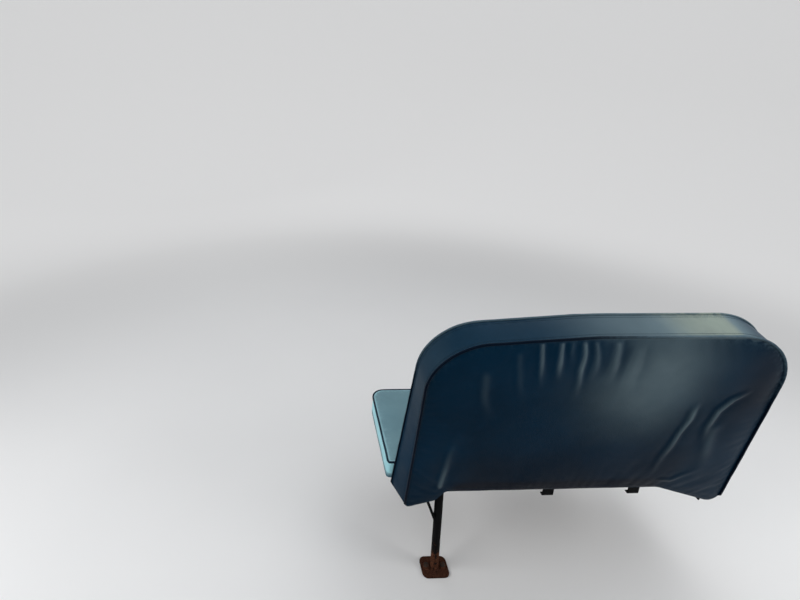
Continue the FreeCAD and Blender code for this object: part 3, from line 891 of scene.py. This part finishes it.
def make_back():
    """Cover of the back, swollen, folded and coloured."""
    cover = back_form().build("back_cover")
    swell(cover)
    subdivide(cover)
    points, panel = coords(cover), mark(cover, "panel")
    local = to_back(points)
    across, up = local[:, 0], local[:, 1]
    flat = local[:, :2] + wander(local, 16.0, (0.0, 5.0), 5 * MM)
    rear, front = np.clip(-panel, 0, 1), np.clip(panel, 0, 1)
    slack = np.zeros(len(points))
    for side, folds in ((rear, REAR_FOLDS), (front, FRONT_FOLDS)):
        for line, width, height, start in folds:
            slack += side * fold(flat, line, width, height, start)
    leant_on = sum(hill(across, up, (x, 0.30), (0.12, 0.14)) for x in LEANT_ON)
    rise = slack - front * 4 * MM * leant_on
    # long soft unevenness of a cover over foam
    rise += rear * (1.8 * soft_noise(local, 5.5, 2.0) + 0.7 * soft_noise(local, 16.0, 4.0)) * MM
    rise += front * smoothstep(points[:, 2], 0.40, 0.46) * (
        2.2 * soft_noise(local, 5.0, 9.0) + 0.8 * soft_noise(local, 15.0, 6.0)) * MM
    rise += (1 - rear - front) * 0.5 * MM * soft_noise(local, 18.0, 12.0)
    rise += puckers(cover, 0.06 * MM, 15 * MM)
    points = points + normals(cover) * rise[:, None]
    points[:, 0] = np.minimum(points[:, 0], WALL_PLANE - 0.5 * MM)
    set_coords(cover, points)
    rub = np.exp(-mark(cover, "gap") / (9 * MM)) * smoothstep(up, 0.25, 0.6)
    # marks for wear, for painted sheen and highlights, and for painted shade
    set_marks(cover, {"wear_and_highlight": rub * (0.2 + 0.8 * smoothstep(across, 0.15, 0.5)),
                      "haze_and_painted_sheen": back_haze_and_sheen(across, up, rear, front, slack, leant_on),
                      "painted_shade": rear * back_painted_shade(across, up)})
    notch_back(cover)
    finish_piece(cover, back_vinyl, "root", "vinyl_navy", "back_pad")
    return cover


def notch_back(cover):
    """Cuts the room for the rear tube out of the foot of the cover, as in the frame."""
    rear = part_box("rear_tube")[0].y
    # it reaches well past the cover on its far sides
    xs = (BACK_AISLE + SKIRT_SHELL, 900 * MM)
    ys = (rear - 0.4 * MM, rear + 300 * MM)
    zs = (200 * MM, FRAME_TOP + 0.6 * MM)
    points = [(x, y, z) for x in xs for y in ys for z in zs]
    faces = [(0, 1, 3, 2), (4, 6, 7, 5), (0, 4, 5, 1), (2, 3, 7, 6), (0, 2, 6, 4), (1, 5, 7, 3)]
    knife = link("knife", points, faces)
    cut = cover.modifiers.new("notch", "BOOLEAN")
    cut.operation, cut.solver, cut.object = "DIFFERENCE", "EXACT", knife
    apply_modifiers(cover)
    bpy.data.objects.remove(knife)
    cover.data.shade_smooth()
    cover.data.set_sharp_from_angle(angle=math.radians(55))


def make_back_welts():
    """Piping on the rear and front seams, from one skirt's foot over the top to the other's. It
    is painted pale where light reaches it and painted dark as shade elsewhere, and its ends run in
    under the cover."""
    ends = [OVER_THE_TOP[0], OVER_THE_TOP[-1]]
    stand = np.full((len(rear_line), 1), 1.6 * MM)
    stand[ends] = -4 * MM
    sunk = np.zeros((len(rear_line), 1))
    sunk[ends] = 5 * MM
    for name, line, face, side, radius in (("welt_rear", rear_line, rear_face, -1, 3.3 * MM),
                                           ("welt_front", front_line, front_face, 1, 2.7 * MM)):
        path = face(offset_line(line, stand)) + side * (1.2 * MM - sunk) * FORWARD
        path[:, 0] = np.minimum(path[:, 0], WALL_PLANE - 4.2 * MM)
        made = welt(name, path[OVER_THE_TOP], "root", radius, material=back_vinyl)
        across, up, _ = to_back(coords(made)).T
        # painted highlight where light reaches the piping, painted shade where it does not
        lit = smoothstep(up, 0.40, 0.56)
        pale = 0.40 * lit
        if name == "welt_rear":
            lit = lit * smoothstep(across, 0.20, 0.50)
            pale = 0.12 * lit
        set_marks(made, {"haze_and_painted_sheen": 0.55 * painted_top_glare(across, up) + pale, "wear_and_highlight": lit,
                         "painted_shade": 0.85 * (1 - lit)})


def make_back_stitches(cover):
    """Stitches along both edges of the boxing and along the hem."""
    a, b = rear_face(rear_line), front_face(front_line)
    across = unit(b - a)
    outwards = rear_face(offset_line(rear_line, 6 * MM)) - a
    for name, seam, inwards in (("rear", a, 9 * MM), ("front", b, -9 * MM)):
        path = (seam + across * inwards + outwards)[OVER_THE_TOP]
        stitch_row("stitch_boxing_" + name, path, cover, "root")
    hem = offset_line(rear_line, -15 * MM)[:BOTTOM_POINTS]
    stitch_row("stitch_hem", rear_face(hem) - 3 * MM * FORWARD, cover, "root", pitch=6 * MM,
               length=4.4 * MM)


# Cushion

CUSHION_STEP = 8.6 * MM
SEAM_Z = 392 * MM
LAP = 0.5 * MM                # the cover's edge under the board

# Folds in millimetres: (x, y) places, half width, height
CUSHION_FOLDS = [
    ([(-150, 176), (-118, 140), (-70, 96)], 8.0, 2.0),
    ([(-156, 150), (-128, 112), (-96, 70)], 8.0, 1.6),
    ([(806, 178), (772, 140), (730, 100)], 8.0, 2.0),
    ([(812, 150), (784, 118), (752, 84)], 8.0, 1.4),
    ([(120, 186), (210, 168), (330, 172), (420, 164)], 9.0, 1.4),
    ([(480, 182), (560, 166), (640, 170)], 9.0, 1.3),
    ([(-150, -92), (-110, -60), (-60, -40)], 9.0, 1.5),
]


def cushion_rear(z):
    """Y of the cushion's rear face at a height, 3 mm ahead of the back."""
    foot = BACK_ORIGIN + BACK_THICK * FORWARD
    return foot[1] - (z - foot[2]) * math.tan(BACK_LEAN - FRONT_LEAN) + 3 * MM


def cushion_corners(z, inset, rear_inset=0.0, corner=CUSHION_CORNER, nose_inset=None):
    left, right = CUSHION_AISLE + inset, CUSHION_WALL - inset
    nose = CUSHION_NOSE - (inset if nose_inset is None else nose_inset)
    rear = cushion_rear(z) + rear_inset
    return [(left, rear, 9 * MM), (right, rear, 9 * MM), (right, nose, corner),
            (left, nose, corner)]


def cushion_form(top, counts):
    """Cover of the cushion before it is filled: top panel and boxing, turned in under the
    board's edge and up round the board."""
    form = Form()
    low, _ = rounded_outline(cushion_corners(CUSHION_LOW, 1.5 * MM), CUSHION_STEP, counts)
    board = cushion_corners(FRAME_TOP, 26.7 * MM, 3.7 * MM, 21 * MM, 17.7 * MM)
    pocket, _ = rounded_outline(board, CUSHION_STEP, counts)
    along = gone_along(top)
    a, b, c = raised(top, SEAM_Z), raised(low, CUSHION_LOW), raised(pocket, CUSHION_LOW)
    seam = form.add(a, along=along)
    form.fill(top, seam, CUSHION_STEP, lambda flat: raised(flat, SEAM_Z), panel=1, hold=0,
              room=13 * MM)
    at_rear = (top[:, 1] < cushion_rear(SEAM_Z) + 12 * MM).astype(float)
    rows, ring = 8, seam
    for t in np.arange(1, rows) / rows:
        ring = form.ring(ring, a + (b - a) * t, along=along, gap=t * (SEAM_Z - CUSHION_LOW),
                         hold=at_rear, room=7 * MM)
    ring = form.ring(ring, b, along=along, gap=SEAM_Z - CUSHION_LOW)
    form.crease(ring)
    under = {"panel": -1, "gap": 50 * MM, "along": along}
    ring = form.ring(ring, b + (c - b) * 0.5, **under)
    ring = form.ring(ring, c, **under)
    form.crease(ring)
    ceiling = BOARD_TOP + 0.3 * MM
    ring = form.ring(ring, raised(pocket, ceiling), **under)
    form.crease(ring)
    form.fill(pocket, ring, 26 * MM, lambda flat: raised(flat, ceiling), panel=-1)
    form.crease(seam)
    return form


def make_cushion():
    """Cover of the cushion, swollen, folded and coloured, with its piping and stitches."""
    top, counts = rounded_outline(cushion_corners(SEAM_Z, 3.5 * MM, 1.0 * MM), CUSHION_STEP)
    cover = cushion_form(top, counts).build("cushion_cover")
    swell(cover)
    subdivide(cover)
    points, panel = coords(cover), mark(cover, "panel")
    x, y, z = points.T
    rear = cushion_rear(SEAM_Z)
    on_top = np.clip(panel, 0, 1)
    boxing = np.clip(1 - np.abs(panel), 0, 1)
    rise = on_top * (1.6 * soft_noise(points, 5.0, 1.0) + 0.6 * soft_noise(points, 17.0, 7.0)) * MM
    sat_on = sum(hill(x, y, (middle, 0.02), (0.125, 0.11)) for middle in LEANT_ON)
    rise -= on_top * 3.5 * MM * sat_on
    flat = points[:, :2] + 3 * MM * soft_noise(points, 20.0)[:, None]
    for line, width, height in CUSHION_FOLDS:
        rise += on_top * fold(flat, line, width, height)
    rise += boxing * (y > rear + 20 * MM) * 0.8 * MM * soft_noise(points, 20.0, 3.0)
    free = np.clip(1 + np.minimum(panel, 0), 0, 1) * smoothstep(y, rear + 4 * MM, rear + 20 * MM)
    rise += free * puckers(cover, 0.15 * MM, 14 * MM)
    set_coords(cover, points + normals(cover) * rise[:, None])
    rub = np.exp(-mark(cover, "gap") / (10 * MM))
    # the boxing is painted pale: painted light where it falls on the cushion's sides
    set_marks(cover, {"wear_and_highlight": rub * smoothstep(z, 0.34, 0.39),
                      "haze_and_painted_sheen": boxing * smoothstep(z, 0.33, 0.35)})
    cover.data.set_sharp_from_angle(angle=math.radians(60))
    finish_piece(cover, cushion_vinyl, "cushion", "vinyl_blue", "cushion_pad")
    path = raised(offset_line(top, 1.0 * MM), SEAM_Z - 0.6 * MM)
    path[:, 1] = np.maximum(path[:, 1], rear + 2.6 * MM)
    welt("welt_cushion", path, "cushion", 3.2 * MM, closed=True)
    row = raised(offset_line(top, 5 * MM), SEAM_Z - 9 * MM)[top[:, 1] > rear + 14 * MM]
    stitch_row("stitch_cushion", row, cover, "cushion")


def make_cushion_lap():
    """The cover's edge, turned under the board and stapled to it."""
    corners = cushion_corners(FRAME_TOP, 26 * MM, 3.4 * MM, 21 * MM, 17 * MM)
    edge, _ = rounded_outline(corners, 6 * MM)
    along, total = gone_along(edge), len(edge)
    hem = offset_line(edge, -(25 + 5 * along_noise(along, 21.0, 5.0))[:, None] * MM)
    rings = [(edge, 0.0), (edge, -LAP), (0.5 * (edge + hem), -1.25 * LAP), (hem, -LAP), (hem, 0.0)]
    points = [(x, y, FRAME_TOP + drop) for line, drop in rings for x, y in line]
    lap = link("cushion_lap", points, skin(len(rings), total, closed=True, capped=False))
    finish_piece(lap, back_of_vinyl, "cushion", "vinyl_blue")
    middle = offset_line(edge, -14 * MM)
    z = FRAME_TOP - 1.25 * LAP - 0.25 * MM
    staples = []
    for at in np.arange(15 * MM, along[-1] + np.linalg.norm(edge[0] - edge[-1]), 38 * MM):
        k = int(np.argmin(np.abs(along - at)))
        ahead = unit(middle[(k + 1) % total] - middle[k - 1])
        reach = 5 * MM * spun(ahead, 0.35 * math.sin(7.3 * k))
        wire = line_path((*(middle[k] - reach), z), (*(middle[k] + reach), z), step=1.4 * MM)
        staples.append(tube_mesh("staple", wire, 0.5 * MM, sides=6))
    finish_piece(join("cushion_staples", staples), zinc, "cushion", "clip_zinc")


# Hardware

def turned(points, at, axis):
    """Points made along +Z, turned to an axis and moved to a place."""
    turn = Vector((0, 0, 1)).rotation_difference(Vector(axis)).to_matrix()
    return [turn @ Vector(p) + Vector(at) for p in points]


def lathe(name, profile, at, axis, sides):
    """A turned piece from (radius, height) pairs. A negative radius is that of the corners of a
    hexagon."""
    sector = math.pi / 6
    points = []
    for radius, height in profile:
        for k in range(sides):
            a = 2 * math.pi * k / sides
            r = radius
            if radius < 0:
                r = -radius * math.cos(sector) / math.cos((a % (2 * sector)) - sector)
            points.append((r * math.cos(a), r * math.sin(a), height))
    made = link(name, turned(points, at, axis), skin(len(profile), sides))
    made.data.set_sharp_from_angle(angle=math.radians(35))
    return made


def hex_bolt(name, at, axis, flats=15 * MM, washer=11 * MM, shank=0.0):
    """A hexagon bolt head on its washer, with a shank down through the hole. The place is where
    the washer rests."""
    corner = flats / 2 / math.cos(math.pi / 6)
    thick = 2.0 * MM
    top = thick + flats / 2
    profile = [(4.4 * MM, -shank), (4.9 * MM, 0.6 * MM - shank), (4.9 * MM, 0.05 * MM),
               (washer - 0.5 * MM, 0.05 * MM), (washer, 0.6 * MM), (washer, thick - 0.5 * MM),
               (washer - 0.6 * MM, thick), (flats / 2 - 0.3 * MM, thick),
               (-corner, thick + 0.4 * MM), (-corner, top - 1.2 * MM),
               (flats / 2 - 0.2 * MM, top - 0.3 * MM), (flats / 2 - 2.0 * MM, top),
               (0.4 * MM, top + 0.15 * MM)]
    return lathe(name, profile, at, axis, sides=36)


def bead(path, radius, closed=True):
    """A weld bead: a cord with the ripples and unevenness of a hand weld."""
    gone = gone_along(path)
    ripple = 1 + 0.10 * np.sin(gone * 2 * math.pi / (3.2 * MM)) + 0.22 * soft_noise(path, 70.0)
    return tube_mesh("bead", path + wander(path, 60.0, (2.0, 7.0, 13.0), 0.9 * MM),
                     radius * ripple, closed=closed)


def ring_bead(at, radius, stretch, thick):
    """A weld bead round an upright axis, stretched along Y where a leaning tube meets a level
    plate."""
    ring = np.array([(radius * c, radius * stretch * s, 0) for c, s in circle(64)])
    return bead(ring + at, thick)


def line_path(a, b, step=0.9 * MM):
    a, b = np.array(a), np.array(b)
    count = max(4, int(np.linalg.norm(b - a) / step))
    return a + (b - a) * np.linspace(0, 1, count)[:, None]


def make_bolts():
    """Floor and wall bolts, and the screws of the latch plates and the hinge clips."""
    for y, label in ((REAR_FOOT_Y, "rear"), (FRONT_FOOT_Y, "front")):
        for side, where in ((-1, "aisle"), (1, "wall")):
            at = (side * BOLT_OFFSET, y, FOOT_THICK)
            bolt = hex_bolt("floor_bolt_" + label + "_" + where, at, (0, 0, 1),
                            washer=10.5 * MM, shank=FOOT_THICK)
            finish_piece(bolt, bolt_steel, "root", "foot_rust")
    for side, label in ((-1, "rear"), (1, "front")):
        at = (WALL_INNER, WALL_BOLT_Y + side * WALL_BOLT_OFFSET, WALL_BOLT_Z)
        bolt = hex_bolt("wall_bolt_" + label, at, (-1, 0, 0), washer=12 * MM, shank=4 * MM)
        finish_piece(bolt, zinc, "root", "clip_zinc")
    for name in ("latch_aisle", "latch_wall"):
        low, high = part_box(name)
        at = ((low.x + high.x) / 2, low.y, high.z - 11 * MM)
        bolt = hex_bolt(name + "_screw", at, (0, -1, 0), flats=10 * MM, washer=7 * MM)
        finish_piece(bolt, black_paint, "root", "frame_black")
    for name in ("hinge_clip_aisle", "hinge_clip_wall"):
        low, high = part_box(name)
        for label, k in (("a", 0.28), ("b", 0.72)):
            at = (low.x + (high.x - low.x) * k, high.y - 9 * MM, high.z - 2.5 * MM)
            screw = hex_bolt(name + "_screw_" + label, at, (0, 0, -1), flats=8 * MM,
                             washer=5.5 * MM)
            finish_piece(screw, zinc, "cushion", "clip_zinc")


def make_welds():
    """Weld beads at the feet, under the cross tubes, on the rails and on the wall bracket."""
    rear_low, rear_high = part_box("rear_tube")
    under = rear_low.z
    foot_beads, beads = [], []
    for foot_y, top_y, radius, stretch in (
            (REAR_FOOT_Y, (rear_low.y + rear_high.y) / 2, 13.2 * MM, 0.96),
            (FRONT_FOOT_Y, FRONT_TUBE_Y - FRONT_LEG_SETBACK, 13.0 * MM, 0.8)):
        slope = (top_y - foot_y) / under
        foot = (0, foot_y + slope * FOOT_THICK, FOOT_THICK + 1.0 * MM)
        foot_beads.append(ring_bead(foot, 13.6 * MM, 1.01, 2.9 * MM))
        top = (0, foot_y + slope * (under - 1 * MM), under - 1.2 * MM)
        beads.append(ring_bead(top, radius, stretch, 2.0 * MM))
    finish_piece(join("foot_welds", foot_beads), rusty_steel, "root", "foot_rust")
    lines = []
    for name in ("rail_aisle", "rail_middle", "rail_wall"):
        low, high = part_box(name)
        y = low.y + 0.6 * MM
        lines += [((x, y, low.z + 2 * MM), (x, y, high.z - 3 * MM), 1.9 * MM)
                  for x in (low.x, high.x)]
        lines.append(((low.x + 2 * MM, y, low.z), (high.x - 2 * MM, y, low.z), 1.9 * MM))
    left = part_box("wall_bracket")[0].x + 2 * MM
    lines += [((left, y, under), (BRACKET_WELD_END, y, under), 1.7 * MM)
              for y in (rear_low.y + 3 * MM, rear_high.y)]
    beads += [bead(line_path(a, b), thick, closed=False) for a, b, thick in lines]
    finish_piece(join("frame_welds", beads), black_paint, "root", "frame_black")


def make_plug():
    """Plastic plug in the front tube's open end."""
    profile = [(9.6, -7), (10.4, -6), (10.4, 0), (12.4, 0.05), (12.6, 0.9), (11.6, 2.2), (8, 3.1),
               (1, 3.5)]
    plug = lathe("front_tube_plug", [(r * MM, h * MM) for r, h in profile],
                 (FRONT_TUBE_END, FRONT_TUBE_Y, FRONT_TUBE_Z), (-1, 0, 0), sides=28)
    finish_piece(plug, plastic, "root", "frame_black")


def dress_frame():
    """Procedural finishes for the CAD nodes that stay visible."""
    finishes = {"foot_rear": rusty_steel, "foot_front": rusty_steel, "cushion_board": wood,
                "hinge_clip_aisle": zinc, "hinge_clip_wall": zinc}
    for name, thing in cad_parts.items():
        thing.data.materials.clear()
        thing.data.materials.append(finishes.get(name, black_paint))


# Studio

LAMPS = [
    # name, place, where it points, size, power
    ("lamp_left", (-2.5, -0.7, 1.6), (-0.1, 0.0, 0.5), (1.6, 1.2), 35),
    ("lamp_behind", (-0.6, -3.2, 2.3), (0.3, -0.2, 0.6), (2.4, 1.4), 16),
    ("lamp_right", (2.5, -1.0, 1.5), (0.4, -0.2, 0.6), (1.4, 1.0), 26),
    ("lamp_top", (1.1, 0.4, 2.8), (0.4, 0.0, 0.5), (2.4, 2.0), 24),
    ("lamp_front", (-1.2, 3.0, 1.9), (0.2, 0.1, 0.4), (2.4, 1.4), 14),
]


def make_floor():
    """Pale floor that sweeps up all round."""
    sides = 72
    profile = [(0.01, 0), (1.2, 0), (2.4, 0), (3.4, 0)]
    profile += [(3.4 + 1.6 * math.sin(t), 1.6 - 1.6 * math.cos(t))
                for t in np.linspace(0.12, math.pi / 2, 10)]
    profile.append((5.0, 3.2))
    points = [(r * c + 0.3, r * s, z) for r, z in profile for c, s in circle(sides)]
    faces = skin(len(profile), sides, capped=False) + [list(reversed(range(sides)))]
    floor = link("floor", points, faces)
    floor.data.materials.append(floor_paint("floor_paint"))


def make_light():
    """Soft lamps and an even sky."""
    for name, at, target, size, power in LAMPS:
        data = bpy.data.lights.new(name, "AREA")
        data.shape = "RECTANGLE"
        data.size, data.size_y = size
        data.energy = power
        lamp = bpy.data.objects.new(name, data)
        lamp.location = at
        lamp.rotation_euler = (Vector(target) - Vector(at)).to_track_quat("-Z", "Y").to_euler()
        bpy.context.scene.collection.objects.link(lamp)
    world = bpy.data.worlds.new("sky")
    world.use_nodes = True
    n = Nodes(world.node_tree)
    strength = n.ramp(n.seen_directly(), 0.0, 1.0, 0.30, 0.70)
    n.feed(n.tree.nodes["Background"], {"Color": (0.86, 0.90, 0.96, 1), "Strength": strength})
    bpy.context.scene.world = world
    bpy.context.scene.view_settings.view_transform = "Standard"


make_camera()
make_floor()
make_light()
dress_frame()
back_cover = make_back()
make_back_welts()
make_back_stitches(back_cover)
make_cushion()
make_cushion_lap()
make_bolts()
make_welds()
make_plug()
